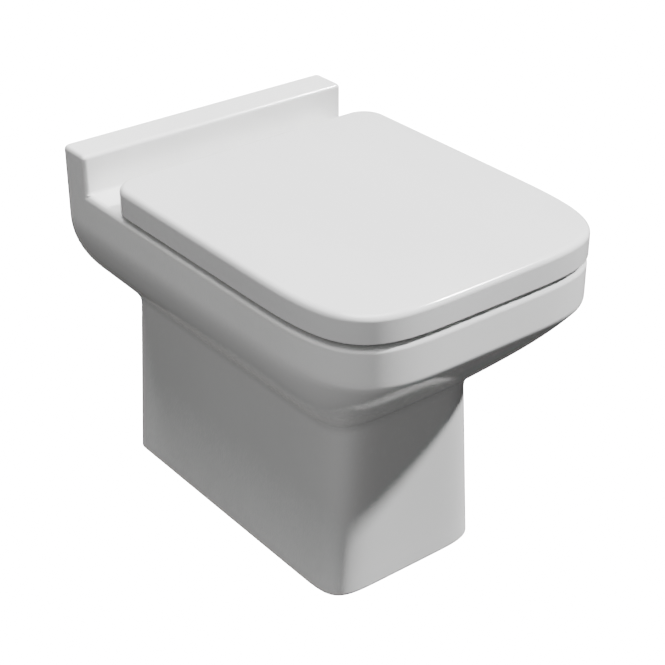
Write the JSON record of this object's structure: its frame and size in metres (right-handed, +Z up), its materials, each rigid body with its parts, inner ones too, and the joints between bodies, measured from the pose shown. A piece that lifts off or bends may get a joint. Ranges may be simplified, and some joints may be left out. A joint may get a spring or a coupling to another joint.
{
  "type": "back to wall toilet",
  "caption": "Squared china toilet pan that stands against a wall, with a full width rear ledge, an overhanging band, and a wrap-over lid and seat on soft closing lift-off hinges.",
  "frame": {"origin": "middle of the footprint of the whole object, on the floor", "axes": "+X to the right seen from the front, +Y back towards the wall, +Z up"},
  "size_m": [0.363, 0.5184, 0.44],
  "materials": {
    "china": "gloss glaze",
    "duroplast": "polished",
    "chrome": "polished",
    "steel": "bright drawn",
    "moulded": "moulded",
    "rubber": "matt"
  },
  "bodies": {
    "pan": {"pan": "china", "inlet_horn": "china", "left_hinge_post": "chrome", "right_hinge_post": "chrome", "left_base_plate": "chrome", "right_base_plate": "chrome", "hinge_gaskets": "rubber", "fixing_studs": "steel", "under_washers": "rubber", "wing_nuts": "moulded"},
    "hinge_carrier": {"left_hinge_block": "chrome", "right_hinge_block": "chrome", "left_damper": "moulded", "right_damper": "moulded", "left_pivot_pin": "steel", "right_pivot_pin": "steel", "left_button_spring": "steel", "right_button_spring": "steel"},
    "seat": {"seat_ring": "duroplast", "seat_buffers": "rubber", "left_pivot_bush": "moulded", "right_damper_shaft": "steel"},
    "lid": {"lid": "duroplast", "lid_buffers": "rubber", "left_damper_shaft": "steel", "right_pivot_bush": "moulded"},
    "left_button": {"left_release_button": "chrome"},
    "right_button": {"right_release_button": "chrome"}
  },
  "joints": [
    {"name": "seat_release", "type": "slide", "parent": "pan", "child": "hinge_carrier", "axis": [0, 0, 1], "range_m": [0, 0.03]},
    {"name": "seat_hinge", "type": "hinge", "parent": "hinge_carrier", "child": "seat", "pos_m": [0, 0.14725, 0.4128], "axis": [-1, 0, 0], "range_deg": [0, 98]},
    {"name": "lid_hinge", "type": "hinge", "parent": "seat", "child": "lid", "pos_m": [0, 0.14725, 0.4128], "axis": [1, 0, 0], "range_deg": [-100, 0]},
    {"name": "left_button_press", "type": "slide", "parent": "hinge_carrier", "child": "left_button", "axis": [0, 1, 0], "range_m": [0, 0.003], "stiffness_N_per_m": 400, "springref_m": -0.004},
    {"name": "right_button_press", "type": "slide", "parent": "hinge_carrier", "child": "right_button", "axis": [0, 1, 0], "range_m": [0, 0.003], "stiffness_N_per_m": 400, "springref_m": -0.004}
  ]
}
